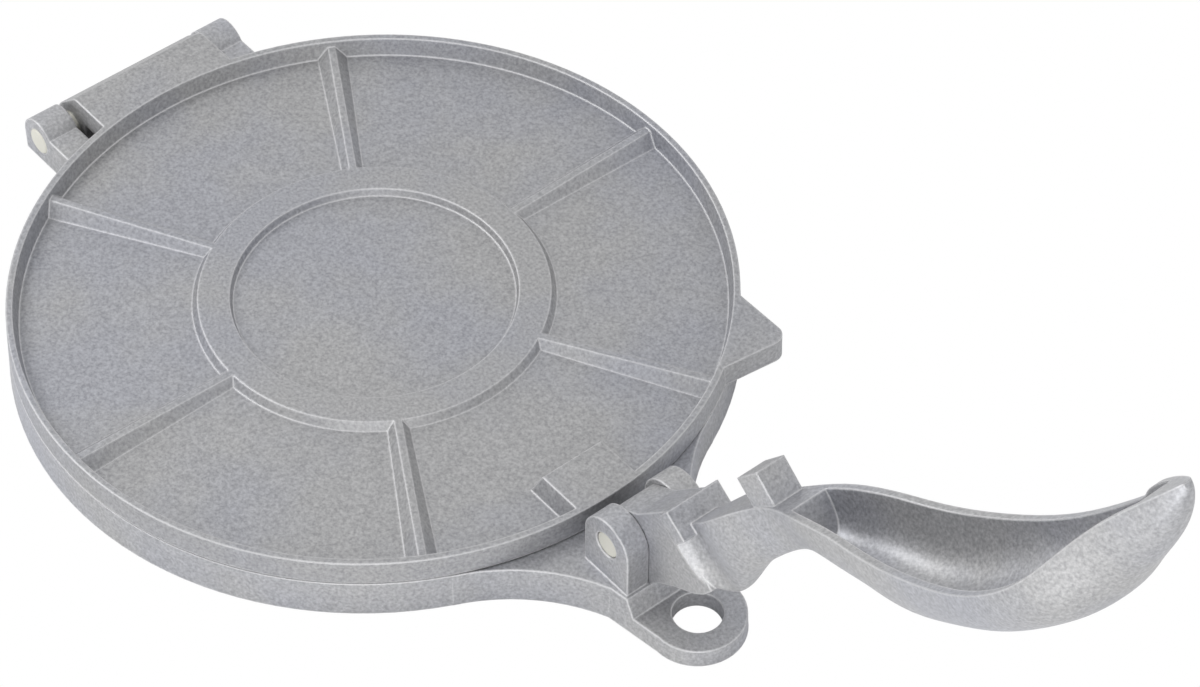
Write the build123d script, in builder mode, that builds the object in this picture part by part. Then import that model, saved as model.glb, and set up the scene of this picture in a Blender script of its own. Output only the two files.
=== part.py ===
"""Tortilla press: three aluminium castings turning on two plain steel pins.

Millimetres. +Z is up and the origin is the centre of the base disc on the table.
+X points to the lever, the lid's hinge is at -X, and both pins lie along Y.
The press is drawn closed, with the lever folded outward until its heel rests on the tongue.
"""

from build123d import *
from math import cos, radians, sin, tan
import os

os.makedirs("parts", exist_ok=True)

# --- driving dimensions ----------------------------------------------------------------

# round plates
plate_radius = 101.5  # base disc, at the table
plate_draft = 3.0  # degrees of draft on every cast wall
base_thickness = 11.2
lid_gap = 0.4  # between the closed plates
lid_radius = 100.9
lid_height = 7.2
lid_floor = 1.7  # thickness of the lid between its ribs
rim_land = 1.8  # width of the rim's flat top
rim_slope = 1.2

# ring and spokes on the lid's back
ring_inner = 39.8
ring_outer = 48.6
ring_height = 2.2
ring_slope = 1.6
rib_count = 6
rib_rise = 1.5  # a spoke is this much higher at the rim than at the ring
rib_root = 0.5  # how deep the spokes are sunk in the floor
rib_top_width = 2.0
rib_flank = 48.0  # degrees, slope of a spoke's sides

# pressing pad and thumb tab on the lid
pad_inner = 84.5
pad_width = 20.0
pad_shift = 1.0
pad_draft = 22.0
tab_corner = (88.0, 74.6)
tab_corner_radius = 4.0
tab_start = (62.0, 74.5)
tab_end = (84.2, 44.0)

# hinge at the back
hinge_x = -115.5
hinge_z = 7.2
lug_radius = 7.2
lug_inner = 24.4
lug_outer = 34.0
lug_root = -85.0
strap_half_width = 22.3
strap_back = -114.5
strap_corner = 2.5
barrel_radius = 7.0
pin_radius = 4.0
pin_clearance = 0.05
pin_proud = 0.3
pin_recess = 0.4
pin_chamfer = 0.4

# tongue, ears and end pad at the front
tongue_root = (91.2, 44.7)
tongue_flare = (102.9, 27.6)
tongue_waist = (120.0, 15.9)
foot_centre = 136.5
foot_radius = 13.5
foot_height = 5.5
foot_hole_x = 136.8
foot_hole_radius = 6.75
step_top = 125.5
step_foot = 128.0
pivot_x = 116.0
pivot_z = 23.5
ear_radius = 8.5
ear_inner = 6.5
ear_outer = 13.5

# underside of the base
wall = 6.0
floor_thickness = 5.0
stiffener_width = 4.0
hub_radius = 11.0

# lever: u runs along it from the pivot, n stands up from its top
lever_angle = 50.0  # degrees above the table when it is folded outward
hub_half_width = 6.35
lever_hub_radius = 7.0
heel_back = pivot_x + 5.5
heel_front = step_top - 0.3
heel_gap = 0.1
shoulder_start = 25.0
shoulder_end = 30.0
shoulder_half_width = 8.5
ridge_height = 2.8
block_start = 65.5
block_end = 75.5
block_height = 5.2
block_half_width = 4.5
grip_wall = 2.3
grip_floor = 2.6
neck_fullness = 0.86  # how boxy the section is: 1 is square, and 0.55 is round
grip_fullness = 0.69
bowl_start = 84.0  # the hollow of the grip runs from here
bowl_end = 220.0  # to here

# stations along the casting: distance u, height of its top edge, half width, depth
grip_stations = [
    (25, -2.2, 8.5, 18.6),
    (44, -2.4, 7.6, 17.9),
    (57, -2.4, 6.4, 15.4),
    (70, -3.4, 5.1, 13.8),
    (84, -5.8, 7.6, 14.0),
    (97, -9.8, 10.1, 16.9),
    (110, -15.6, 12.0, 18.6),
    (124, -21.8, 14.1, 18.2),
    (141, -27.0, 16.4, 16.2),
    (157, -30.0, 18.5, 15.2),
    (170, -30.7, 20.0, 14.9),
    (181, -30.3, 20.3, 15.1),
    (190, -29.0, 18.0, 15.5),
    (200, -26.3, 13.4, 15.0),
    (210, -24.2, 9.8, 13.4),
    (220, -23.2, 6.7, 10.3),
    (228, -22.8, 3.7, 5.8),
    (232.5, -22.6, 1.2, 1.8),
]

# --- derived places --------------------------------------------------------------------

lid_bottom = base_thickness + lid_gap
lid_top = lid_bottom + lid_height
floor_z = lid_bottom + lid_floor
rim_radius = lid_radius - lid_height * tan(radians(plate_draft))
rim_inner = rim_radius - rim_land

pivot = Vector(pivot_x, 0, pivot_z)
along = Vector(cos(radians(lever_angle)), 0, sin(radians(lever_angle)))
side_plane = Plane(origin=pivot, x_dir=along, z_dir=(0, -1, 0))


def lever_point(x, z):
    """A point of the closed press, in the lever's own u and n."""
    offset = Vector(x - pivot_x, 0, z - pivot_z)
    return (offset.dot(along), offset.dot(side_plane.y_dir))


# --- base plate ------------------------------------------------------------------------

with BuildPart() as base_plate:
    # the disc and the flared tongue are one drafted slab
    with BuildSketch(Plane.XY):
        Circle(plate_radius)
        with BuildLine():
            ThreePointArc(
                (tongue_root[0], -tongue_root[1]),
                (tongue_flare[0], -tongue_flare[1]),
                (tongue_waist[0], -tongue_waist[1]),
            )
            Line((tongue_waist[0], -tongue_waist[1]), (foot_centre, -foot_radius))
            ThreePointArc(
                (foot_centre, -foot_radius),
                (foot_centre + foot_radius, 0),
                (foot_centre, foot_radius),
            )
            Line((foot_centre, foot_radius), tongue_waist)
            ThreePointArc(tongue_waist, tongue_flare, tongue_root)
            Line(tongue_root, (tongue_root[0], -tongue_root[1]))
        make_face()
    extrude(amount=base_thickness, taper=plate_draft)

    # the tongue steps down to its thin end pad
    with BuildSketch(Plane.XZ):
        with BuildLine():
            Polyline(
                (step_top, base_thickness + 1),
                (step_top, base_thickness),
                (step_foot, foot_height),
                (foot_centre + 2 * foot_radius, foot_height),
                (foot_centre + 2 * foot_radius, base_thickness + 1),
                close=True,
            )
        make_face()
    extrude(amount=2 * foot_radius, both=True, mode=Mode.SUBTRACT)

    # two ears for the lever
    with BuildSketch(Plane.XZ):
        with Locations((pivot_x, pivot_z)):
            Circle(ear_radius)
        with Locations((pivot_x, foot_height)):
            Rectangle(2 * ear_radius, pivot_z - foot_height, align=(Align.CENTER, Align.MIN))
    extrude(amount=ear_outer, both=True)
    with BuildSketch(Plane.XZ):
        with Locations((pivot_x, base_thickness)):
            Rectangle(4 * ear_radius, 2 * pivot_z, align=(Align.CENTER, Align.MIN))
    extrude(amount=ear_inner, both=True, mode=Mode.SUBTRACT)

    # two round lugs for the lid's hinge
    for side in (-1, 1):
        with BuildSketch(Plane.XZ.offset(-side * (lug_inner + lug_outer) / 2)):
            with Locations((hinge_x, hinge_z)):
                Circle(lug_radius)
            with Locations((hinge_x, 0)):
                Rectangle(lug_root - hinge_x, base_thickness, align=(Align.MIN, Align.MIN))
                Rectangle(2 * lug_radius, hinge_z, align=(Align.CENTER, Align.MIN))
        extrude(amount=(lug_outer - lug_inner) / 2, both=True)

    # bores for both pins, and the through hole in the end pad
    with BuildSketch(Plane.XZ):
        with Locations((hinge_x, hinge_z), (pivot_x, pivot_z)):
            Circle(pin_radius)
    extrude(amount=lug_outer + 1, both=True, mode=Mode.SUBTRACT)
    with Locations((foot_hole_x, 0, 0)):
        Hole(foot_hole_radius)

    # cast underside: a hollow disc with spokes that meet in a hub
    with BuildSketch(Plane.XY):
        Circle(plate_radius - wall)
        Circle(hub_radius, mode=Mode.SUBTRACT)
        with PolarLocations(0, rib_count, start_angle=180 / rib_count):
            Rectangle(plate_radius, stiffener_width, align=(Align.MIN, Align.CENTER), mode=Mode.SUBTRACT)
    extrude(amount=base_thickness - floor_thickness, taper=plate_draft, mode=Mode.SUBTRACT)

base_plate.part.label = "base_plate"
export_step(base_plate.part, "parts/base_plate.step")


# --- upper plate -----------------------------------------------------------------------


def radial_plane(angle, radius, height):
    """Upright plane across a spoke, with its normal pointing outward."""
    outward = Vector(cos(radians(angle)), sin(radians(angle)), 0)
    sideways = Vector(-sin(radians(angle)), cos(radians(angle)), 0)
    return Plane(origin=outward * radius + Vector(0, 0, height), x_dir=sideways, z_dir=outward)


def spoke_section(angle, radius, height):
    """Section of a cast spoke, standing a little below the floor."""
    foot = rib_top_width + 2 * height / tan(radians(rib_flank))
    with BuildSketch(radial_plane(angle, radius, floor_z - rib_root)) as section:
        Trapezoid(foot, height, rib_flank, align=(Align.CENTER, Align.MIN))
    return section.sketch


# pad that the lever's ridge presses on, trimmed round where it runs into the rim
with BuildPart() as press_pad:
    with BuildSketch(Plane.XY.offset(lid_top)):
        with Locations((pad_inner, pad_shift)):
            Rectangle(plate_radius - pad_inner, pad_width, align=(Align.MIN, Align.CENTER))
    extrude(amount=floor_z - rib_root - lid_top, taper=-pad_draft)
    Cylinder(rim_radius - rim_land / 2, 3 * lid_top, mode=Mode.INTERSECT)

with BuildPart() as upper_plate:
    # hinge strap: flush with the rim, and bent down into a barrel around the pin
    with BuildSketch(Plane.XZ):
        with Locations((hinge_x, hinge_z)):
            Circle(barrel_radius)
        with Locations((strap_back + strap_corner, lid_top - strap_corner)):
            Circle(strap_corner)
        make_hull()
        with Locations((strap_back + strap_corner, lid_bottom)):
            Rectangle(-strap_back - plate_radius + 8, lid_height, align=(Align.MIN, Align.MIN))
    extrude(amount=strap_half_width, both=True)

    # thumb tab, as thick as the rim
    with BuildSketch(Plane.XY.offset(lid_bottom)):
        with BuildLine():
            Polyline((40, 44), tab_end, tab_corner, tab_start, close=True)
        tab_face = make_face()
        fillet(tab_face.vertices().sort_by(Axis.X)[-1:], tab_corner_radius)
    extrude(amount=lid_height, taper=plate_draft / 2)
    with BuildSketch(Plane.XY.offset(lid_bottom)):
        Circle(rim_radius - rim_land / 2)
    extrude(amount=lid_height, mode=Mode.SUBTRACT)

    # floor, rim and ring in one turned profile
    with BuildSketch(Plane.XZ):
        with BuildLine():
            Polyline(
                (0, lid_bottom),
                (lid_radius, lid_bottom),
                (rim_radius, lid_top),
                (rim_inner, lid_top),
                (rim_inner - rim_slope, floor_z),
                (ring_outer + ring_slope, floor_z),
                (ring_outer, floor_z + ring_height),
                (ring_inner, floor_z + ring_height),
                (ring_inner - ring_slope / 2, floor_z),
                (0, floor_z),
                close=True,
            )
        make_face()
    revolve(axis=Axis.Z)

    add(press_pad.part)

    # spokes rise from the ring out to the rim
    for index in range(rib_count):
        spoke_angle = (index + 0.5) * 360 / rib_count
        at_ring = spoke_section(spoke_angle, ring_outer - 1, ring_height + rib_root)
        at_rim = spoke_section(spoke_angle, rim_inner, ring_height + rib_rise + rib_root)
        loft([at_ring, at_rim], ruled=True)

    # running bore for the hinge pin
    with BuildSketch(Plane.XZ):
        with Locations((hinge_x, hinge_z)):
            Circle(pin_radius + pin_clearance)
    extrude(amount=strap_half_width + 1, both=True, mode=Mode.SUBTRACT)

upper_plate.part.label = "upper_plate"
export_step(upper_plate.part, "parts/upper_plate.step")


# --- lever -----------------------------------------------------------------------------


def station_plane(u):
    """Plane across the lever at the distance u from its pivot."""
    return Plane(origin=pivot + along * u, x_dir=(0, 1, 0), z_dir=along)


def fullness_at(u):
    """The root of the lever is boxy and its grip is round."""
    share = min(1, max(0, (u - shoulder_end) / (bowl_start - shoulder_end)))
    return neck_fullness + (grip_fullness - neck_fullness) * share


def grip_section(u, edge, half_width, depth):
    """Flat-topped U across the lever."""
    full = fullness_at(u)
    with BuildSketch(station_plane(u)) as section:
        with BuildLine():
            Line((half_width, edge), (-half_width, edge))
            Bezier(
                (-half_width, edge),
                (-half_width, edge - full * depth),
                (-full * half_width, edge - depth),
                (0, edge - depth),
            )
            Bezier(
                (0, edge - depth),
                (full * half_width, edge - depth),
                (half_width, edge - full * depth),
                (half_width, edge),
            )
        make_face()
    return section.sketch


def bowl_section(u, edge, half_width, depth):
    """The same U, one wall smaller and open above the rim."""
    inner = half_width - grip_wall
    deep = depth - grip_floor
    full = fullness_at(u)
    with BuildSketch(station_plane(u)) as section:
        with BuildLine():
            Polyline((inner, edge), (inner, edge + 4), (-inner, edge + 4), (-inner, edge))
            Bezier(
                (-inner, edge),
                (-inner, edge - full * deep),
                (-full * inner, edge - deep),
                (0, edge - deep),
            )
            Bezier(
                (0, edge - deep),
                (full * inner, edge - deep),
                (inner, edge - full * deep),
                (inner, edge),
            )
        make_face()
    return section.sketch


with BuildPart() as lever:
    # body and hollow grip, lofted from station to station
    loft([grip_section(*station) for station in grip_stations])
    bowl_stations = [station for station in grip_stations if bowl_start <= station[0] <= bowl_end]
    loft([bowl_section(*station) for station in bowl_stations], mode=Mode.SUBTRACT)

    # hub and neck between the ears, with the heel that rests on the tongue
    with BuildSketch(side_plane):
        Circle(lever_hub_radius)
        with BuildLine():
            Polyline(
                (2.0, 6.7),
                (10.0, 3.9),
                (shoulder_start + 1, 2.4),
                (shoulder_start + 1, -20.8),
                (21.4, -21.1),
                (16.6, -20.3),
                (8.3, -17.2),
                (1.6, -15.4),
                lever_point(heel_front, base_thickness + heel_gap),
                lever_point(heel_back, base_thickness + heel_gap),
                (-6.9, -1.0),
                close=True,
            )
        make_face()
    extrude(amount=hub_half_width, both=True)

    # cross ridge that presses on the lid's pad
    with BuildSketch(side_plane):
        with BuildLine():
            Polyline(
                (shoulder_start, 2.3),
                (shoulder_end - 1, ridge_height),
                (shoulder_end, ridge_height),
                (shoulder_end + 0.6, -6),
                (shoulder_start, -6),
                close=True,
            )
        make_face()
    extrude(amount=shoulder_half_width, both=True)

    # square block on the neck
    with BuildSketch(side_plane):
        with BuildLine():
            Polyline(
                (block_start, block_height),
                (block_end, block_height),
                (block_end, -9),
                (block_start, -9),
                close=True,
            )
        make_face()
    extrude(amount=block_half_width, both=True)

    # running bore for the lever pin
    with BuildSketch(side_plane):
        Circle(pin_radius + pin_clearance)
    extrude(amount=hub_half_width + 1, both=True, mode=Mode.SUBTRACT)

lever.part.label = "lever"
export_step(lever.part, "parts/lever.step")


# --- pins ------------------------------------------------------------------------------

with BuildPart() as hinge_pin:
    with BuildSketch(Plane.XZ):
        with Locations((hinge_x, hinge_z)):
            Circle(pin_radius)
    extrude(amount=lug_outer + pin_proud, both=True)
    chamfer(hinge_pin.edges().filter_by(GeomType.CIRCLE), pin_chamfer)

hinge_pin.part.label = "hinge_pin"
export_step(hinge_pin.part, "parts/hinge_pin.step")

with BuildPart() as lever_pin:
    with BuildSketch(Plane.XZ):
        with Locations((pivot_x, pivot_z)):
            Circle(pin_radius)
    extrude(amount=ear_outer - pin_recess, both=True)
    chamfer(lever_pin.edges().filter_by(GeomType.CIRCLE), pin_chamfer)

lever_pin.part.label = "lever_pin"
export_step(lever_pin.part, "parts/lever_pin.step")
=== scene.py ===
"""Looks of a cast-aluminium tortilla press, closed, with its lever folded outward.

Metres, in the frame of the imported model: +Z up, the base disc's centre at the origin.
"""

import bpy
from math import pi, radians
from mathutils import Matrix, Vector

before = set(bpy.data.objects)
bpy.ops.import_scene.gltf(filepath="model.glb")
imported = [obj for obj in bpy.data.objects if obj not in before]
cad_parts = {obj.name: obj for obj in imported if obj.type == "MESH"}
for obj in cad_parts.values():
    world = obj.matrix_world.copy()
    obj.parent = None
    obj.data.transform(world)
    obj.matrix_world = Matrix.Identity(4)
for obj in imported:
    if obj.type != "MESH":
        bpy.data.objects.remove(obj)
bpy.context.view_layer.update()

# --- camera ----------------------------------------------------------------------------
# A long lens from the front corner, above the lever. Its place, turn and focal length were
# fitted to points of the photograph, in a frame of 1200 by 687 pixels.

camera_place = Vector((0.5929, -0.4140, 0.7663))
camera_azimuth = radians(50.15)
camera_elevation = radians(46.97)
camera_roll = radians(0.30)
focal_length_mm = 113.52
sensor_width_mm = 36.0
nearest_seen = 0.01

camera_data = bpy.data.cameras.new("camera")
camera_data.sensor_width = sensor_width_mm
camera_data.lens = focal_length_mm
camera_data.clip_start = nearest_seen
camera_data.dof.use_dof = False
camera = bpy.data.objects.new("camera", camera_data)
camera.matrix_world = (
    Matrix.Translation(camera_place)
    @ Matrix.Rotation(camera_azimuth, 4, "Z")
    @ Matrix.Rotation(pi / 2 - camera_elevation, 4, "X")
    @ Matrix.Rotation(camera_roll, 4, "Z")
)
bpy.context.scene.collection.objects.link(camera)
bpy.context.scene.camera = camera

# --- base plate ------------------------------------------------------------------------
# A bare aluminium casting: disc, tongue, two ears and two hinge lugs in one piece. It is
# sand cast and tumbled, so it is matte, with a fine grain. The grain's colour is the
# metal's own speckle with painted shade in its hollows and a painted glint on its crests,
# and the edges are slightly brighter, partly from wear and partly as a painted highlight.

base_tone = 0.47
base_smoothness = 0.4
cast_metallic = 0.80

# the grain: cells just under a millimetre, and how the grey tone changes across them: the
# metal's own speckle, darker in the grain's hollows as painted shade and brighter on its
# crests as a painted glint
grain_cells_per_metre = 1100.0
grain_detail = 2.0
grain_harshness = 0.65
grain_dark_level = 0.30
grain_speckle_and_hollow_shade_shares = (0.76, 0.76, 0.79)
grain_bright_level = 0.72
grain_speckle_and_crest_glint_shares = (1.22, 1.22, 1.25)

# the mottling: bluish and warm patches some 45 mm wide
mottle_cells_per_metre = 22.0
mottle_detail = 3.0
mottle_blue_level = 0.38
mottle_blue = (0.94, 0.955, 1.0, 1)
mottle_warm_level = 0.62
mottle_warm = (1.0, 1.0, 0.985, 1)

# the edges: a round-over too small to model, lightened towards a pale grey, partly as wear
# and partly as a painted highlight. The brightening is read from the cosine of the angle
# between the rounded normal and the flat one.
edge_radius = 0.0009
edge_samples = 6
wear_and_highlight_start_cosine = 0.995
wear_and_highlight_full_cosine = 0.90
wear_and_highlight_share = 0.6
wear_and_highlight_colour = (0.86, 0.86, 0.87, 1)

# the surface: roughness from the grain's low to its high cells, more of it on an unworn
# piece, and the height of the grain
roughness_low = 0.34
roughness_high = 0.56
roughness_unworn = 0.14
relief_strength = 0.55
relief_height = 0.00006

# a Mix node holds its sockets once for each kind of value, and these are the colour's
mix_share = 0
mix_first = 6
mix_second = 7
mix_result = 2


def solid_noise(tree, cells_per_metre, detail):
    """Noise that runs through a piece, on the piece's own coordinates."""
    place = tree.nodes.new("ShaderNodeTexCoord")
    noise = tree.nodes.new("ShaderNodeTexNoise")
    noise.inputs["Scale"].default_value = cells_per_metre
    noise.inputs["Detail"].default_value = detail
    tree.links.new(place.outputs["Object"], noise.inputs["Vector"])
    return noise


def tone_ramp(tree, noise, low_level, low_colour, high_level, high_colour):
    """The noise as a colour: one tone up to its low level, another from its high level."""
    ramp = tree.nodes.new("ShaderNodeValToRGB")
    low, high = ramp.color_ramp.elements
    low.position = low_level
    low.color = low_colour
    high.position = high_level
    high.color = high_colour
    tree.links.new(noise.outputs["Fac"], ramp.inputs["Fac"])
    return ramp.outputs["Color"]


def cast_colour(tree, grain, tone):
    """A grey tone with its fine grain, painted shade in its hollows and a painted glint on
    its crests, multiplied by the bluish and warm mottling.
    """
    # the grain's hollows darkened as painted shade and its crests lightened as a painted
    # glint, over the metal's own speckle
    dark = [tone * share for share in grain_speckle_and_hollow_shade_shares] + [1]
    bright = [tone * share for share in grain_speckle_and_crest_glint_shares] + [1]
    grain_tone = tone_ramp(tree, grain, grain_dark_level, dark, grain_bright_level, bright)
    mottle = solid_noise(tree, mottle_cells_per_metre, mottle_detail)
    mottle_tone = tone_ramp(
        tree, mottle, mottle_blue_level, mottle_blue, mottle_warm_level, mottle_warm
    )
    colour = tree.nodes.new("ShaderNodeMix")
    colour.data_type = "RGBA"
    colour.blend_type = "MULTIPLY"
    colour.inputs[mix_share].default_value = 1.0
    tree.links.new(grain_tone, colour.inputs[mix_first])
    tree.links.new(mottle_tone, colour.inputs[mix_second])
    return colour.outputs[mix_result]


def edges_with_wear_and_highlight(tree, colour, rounded_normal):
    """The colour, brightened at the edges as wear and as a painted highlight, where the
    rounded normal leaves the flat one.
    """
    flat = tree.nodes.new("ShaderNodeNewGeometry")
    bend = tree.nodes.new("ShaderNodeVectorMath")
    bend.operation = "DOT_PRODUCT"
    tree.links.new(rounded_normal, bend.inputs[0])
    tree.links.new(flat.outputs["Normal"], bend.inputs[1])
    wear_and_highlight_mask = tree.nodes.new("ShaderNodeMapRange")
    wear_and_highlight_mask.inputs["From Min"].default_value = wear_and_highlight_start_cosine
    wear_and_highlight_mask.inputs["From Max"].default_value = wear_and_highlight_full_cosine
    wear_and_highlight_mask.inputs["To Min"].default_value = 0.0
    wear_and_highlight_mask.inputs["To Max"].default_value = wear_and_highlight_share
    tree.links.new(bend.outputs["Value"], wear_and_highlight_mask.inputs["Value"])
    # the edges mixed towards a pale grey: wear, and a painted highlight
    edge_wear_and_highlight_mix = tree.nodes.new("ShaderNodeMix")
    edge_wear_and_highlight_mix.data_type = "RGBA"
    tree.links.new(wear_and_highlight_mask.outputs["Result"], edge_wear_and_highlight_mix.inputs[mix_share])
    tree.links.new(colour, edge_wear_and_highlight_mix.inputs[mix_first])
    edge_wear_and_highlight_mix.inputs[mix_second].default_value = wear_and_highlight_colour
    return edge_wear_and_highlight_mix.outputs[mix_result]


def cast_roughness(tree, grain, smoothness):
    """Roughness that follows the grain, and is less where hands have smoothed the piece."""
    unworn = roughness_unworn * (1 - smoothness)
    roughness = tree.nodes.new("ShaderNodeMapRange")
    roughness.inputs["To Min"].default_value = roughness_low + unworn
    roughness.inputs["To Max"].default_value = roughness_high + unworn
    tree.links.new(grain.outputs["Fac"], roughness.inputs["Value"])
    return roughness.outputs["Result"]


def cast_relief(tree, grain, rounded_normal):
    """The relief of the grain, laid over the rounded normal."""
    bump = tree.nodes.new("ShaderNodeBump")
    bump.inputs["Strength"].default_value = relief_strength
    bump.inputs["Distance"].default_value = relief_height
    tree.links.new(grain.outputs["Fac"], bump.inputs["Height"])
    tree.links.new(rounded_normal, bump.inputs["Normal"])
    return bump.outputs["Normal"]


def cast_aluminium(name, tone, smoothness):
    """Matte cast metal: a fine grain with painted shade and glint, bluish mottling, and
    edges brightened by wear and a painted highlight.
    """
    material = bpy.data.materials.new(name)
    material.use_nodes = True
    tree = material.node_tree
    grain = solid_noise(tree, grain_cells_per_metre, grain_detail)
    grain.inputs["Roughness"].default_value = grain_harshness
    edge_round = tree.nodes.new("ShaderNodeBevel")
    edge_round.samples = edge_samples
    edge_round.inputs["Radius"].default_value = edge_radius
    rounded_normal = edge_round.outputs["Normal"]
    colour = edges_with_wear_and_highlight(tree, cast_colour(tree, grain, tone), rounded_normal)

    shader = tree.nodes["Principled BSDF"]
    shader.inputs["Metallic"].default_value = cast_metallic
    tree.links.new(colour, shader.inputs["Base Color"])
    tree.links.new(cast_roughness(tree, grain, smoothness), shader.inputs["Roughness"])
    tree.links.new(cast_relief(tree, grain, rounded_normal), shader.inputs["Normal"])
    return material


def finish_node(name, material):
    """Gives a carried-over piece one material all over."""
    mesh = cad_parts[name].data
    mesh.materials.clear()
    mesh.materials.append(material)


finish_node("base_plate", cast_aluminium("base_casting", base_tone, base_smoothness))

# --- upper plate -----------------------------------------------------------------------
# The lid is a second casting of the same metal, with rim, ring, spokes, pad and thumb tab
# in one piece and its strap on the hinge pin. It is left as cast, a little darker and
# rougher than the base.

lid_tone = 0.42
lid_smoothness = 0.3

finish_node("upper_plate", cast_aluminium("lid_casting", lid_tone, lid_smoothness))

# --- lever -----------------------------------------------------------------------------
# The lever is the third casting, from the hub between the ears to the hollow spoon grip.
# Hands rub it, so it is the smoothest of the three.

lever_tone = 0.47
lever_smoothness = 0.8

finish_node("lever", cast_aluminium("lever_casting", lever_tone, lever_smoothness))

# --- pins ------------------------------------------------------------------------------
# Both pins are plain lengths of drawn steel rod, cut square and pressed into the base
# casting. The lid turns on one and the lever on the other.

steel_colour = (0.72, 0.71, 0.64, 1)
steel_metallic = 0.7
steel_roughness = 0.45

rod = bpy.data.materials.new("pin_steel")
rod.use_nodes = True
rod_shader = rod.node_tree.nodes["Principled BSDF"]
rod_shader.inputs["Metallic"].default_value = steel_metallic
rod_shader.inputs["Roughness"].default_value = steel_roughness
rod_shader.inputs["Base Color"].default_value = steel_colour
finish_node("hinge_pin", rod)
finish_node("lever_pin", rod)

# --- floor and light -------------------------------------------------------------------
# A pale table that the camera sees as plain white, a white surround, and two broad soft
# lamps: the key from high on the left, and a low fill from the camera's side.

floor_side = 6.0
floor_colour = (0.9, 0.9, 0.9, 1)
floor_roughness = 0.8
plain_white = 1.0
surround_colour = (1, 1, 1, 1)
surround_strength = 0.8
lamp_side = 0.6
key_place = (-0.6, -0.5, 0.9)
key_aim = (0, 0, 0)
key_watts = 5.0
fill_place = (0.75, -0.65, 0.28)
fill_aim = (0.1, 0, 0.03)
fill_watts = 3.0

bpy.ops.object.select_all(action="DESELECT")
bpy.ops.mesh.primitive_plane_add(size=floor_side, location=(0, 0, 0))
floor = bpy.context.object
floor.name = "floor"
table = bpy.data.materials.new("white_table")
table.use_nodes = True
table_nodes = table.node_tree.nodes
table_links = table.node_tree.links
table_shader = table_nodes["Principled BSDF"]
table_shader.inputs["Base Color"].default_value = floor_colour
table_shader.inputs["Roughness"].default_value = floor_roughness
white = table_nodes.new("ShaderNodeEmission")
white.inputs["Strength"].default_value = plain_white
seen = table_nodes.new("ShaderNodeLightPath")
cutout = table_nodes.new("ShaderNodeMixShader")
table_links.new(seen.outputs["Is Camera Ray"], cutout.inputs["Fac"])
table_links.new(table_shader.outputs["BSDF"], cutout.inputs[1])
table_links.new(white.outputs["Emission"], cutout.inputs[2])
table_links.new(cutout.outputs["Shader"], table_nodes["Material Output"].inputs["Surface"])
floor.data.materials.append(table)

world = bpy.data.worlds.new("white_surround")
bpy.context.scene.world = world
world.use_nodes = True
surround = world.node_tree.nodes["Background"]
surround.inputs["Color"].default_value = surround_colour
surround.inputs["Strength"].default_value = surround_strength


def soft_lamp(name, place, aim, watts):
    """A square soft lamp at a place, turned to its aim."""
    data = bpy.data.lights.new(name, "AREA")
    data.size = lamp_side
    data.energy = watts
    lamp = bpy.data.objects.new(name, data)
    lamp.location = place
    lamp.rotation_euler = (Vector(aim) - Vector(place)).to_track_quat("-Z", "Y").to_euler()
    bpy.context.scene.collection.objects.link(lamp)


soft_lamp("key", key_place, key_aim, key_watts)
soft_lamp("fill", fill_place, fill_aim, fill_watts)

bpy.context.scene.view_settings.view_transform = "Standard"
